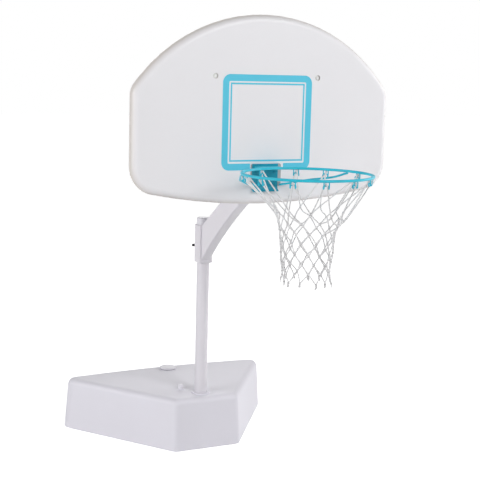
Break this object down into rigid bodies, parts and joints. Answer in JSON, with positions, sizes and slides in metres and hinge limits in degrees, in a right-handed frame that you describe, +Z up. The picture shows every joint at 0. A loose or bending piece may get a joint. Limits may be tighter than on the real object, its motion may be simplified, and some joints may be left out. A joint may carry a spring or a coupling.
{
  "type": "pool basketball hoop",
  "caption": "Free-standing poolside basketball hoop: a water-filled base, a pole, a curved arm that slides on the pole, and a hollow backboard with rim and net",
  "frame": {"origin": "on the deck, on the pole's axis, under the base", "axes": "+Z up; -Y from the pole towards the pool, the way the backboard faces; +X to the right of someone in front of the board who looks towards it along +Y"},
  "size_m": [1.05, 1.59, 1.81],
  "materials": {
    "white_plastic": "satin",
    "white_paint": "satin",
    "teal_paint": "gloss",
    "zinc": "satin",
    "grey_plastic": "satin",
    "black_rubber": "matte",
    "net_cord": "matte",
    "water": "gloss"
  },
  "bodies": {
    "base": {"base_tank": "white_plastic", "water_ballast": "water"},
    "cap_seal": {"cap_gasket": "black_rubber"},
    "fill_cap": {"fill_cap": "white_plastic"},
    "vent_plug": {"vent_plug": "white_plastic"},
    "pole": {"pole": "white_paint", "pole_cap": "white_plastic"},
    "head": {"sleeve": "white_paint", "clamp_boss": "white_paint", "arm_channel": "white_paint", "arm_closing_strip": "white_paint", "arm_end_plate": "white_paint", "brace_upright": "white_paint", "brace_crossbar": "white_paint", "backboard": "white_plastic", "upper_washer_left": "zinc", "upper_bolt_left": "zinc", "upper_nut_left": "zinc", "upper_washer_right": "zinc", "upper_bolt_right": "zinc", "upper_nut_right": "zinc", "bracket_backing_plate": "grey_plastic", "bracket_back_plate": "teal_paint", "bracket_hood": "teal_paint", "rim_bolt_lower_left": "zinc", "rim_nut_lower_left": "zinc", "rim_bolt_lower_right": "zinc", "rim_nut_lower_right": "zinc", "rim_bolt_upper_left": "zinc", "rim_nut_upper_left": "zinc", "rim_bolt_upper_right": "zinc", "rim_nut_upper_right": "zinc", "rim_ring": "teal_paint", "rim_stay_left": "teal_paint", "rim_stay_right": "teal_paint", "net_hook_01": "teal_paint", "net_hook_02": "teal_paint", "net_hook_03": "teal_paint", "net_hook_04": "teal_paint", "net_hook_05": "teal_paint", "net_hook_06": "teal_paint", "net_hook_07": "teal_paint", "net_hook_08": "teal_paint", "net_hook_09": "teal_paint", "net_hook_10": "teal_paint", "net_hook_11": "teal_paint", "net_hook_12": "teal_paint", "net": "net_cord"},
    "clamp_pad": {"clamp_pad": "grey_plastic"},
    "clamp_screw": {"clamp_screw": "zinc", "clamp_bar": "zinc", "clamp_tip_left": "black_rubber", "clamp_tip_right": "black_rubber"}
  },
  "joints": [
    {"name": "pole_turn", "type": "hinge", "parent": "base", "child": "pole", "pos_m": [0, 0, 0.014], "axis": [0, 0, 1], "continuous": true},
    {"name": "head_height", "type": "slide", "parent": "pole", "child": "head", "axis": [0, 0, 1], "range_m": [-0.54, 0]},
    {"name": "clamp_advance", "type": "slide", "parent": "head", "child": "clamp_pad", "axis": [0, 1, 0], "range_m": [0, 0.003]},
    {"name": "clamp_turn", "type": "hinge", "parent": "clamp_pad", "child": "clamp_screw", "pos_m": [0, 0.027, 0.861], "axis": [0, 1, 0], "range_deg": [0, 720]},
    {"name": "cap_lift", "type": "slide", "parent": "base", "child": "cap_seal", "axis": [0, 0, 1], "range_m": [0, 0.0121]},
    {"name": "cap_turn", "type": "hinge", "parent": "cap_seal", "child": "fill_cap", "pos_m": [0, 0.38, 0.2313], "axis": [0, 0, 1], "range_deg": [0, 720]},
    {"name": "vent_pull", "type": "slide", "parent": "base", "child": "vent_plug", "axis": [0, 0, 1], "range_m": [0, 0.03]}
  ],
  "couplings": [
    {"joint": "clamp_advance", "follows": "clamp_turn", "m_per_rad": 0.000238},
    {"joint": "cap_lift", "follows": "cap_turn", "m_per_rad": 0.000955}
  ]
}
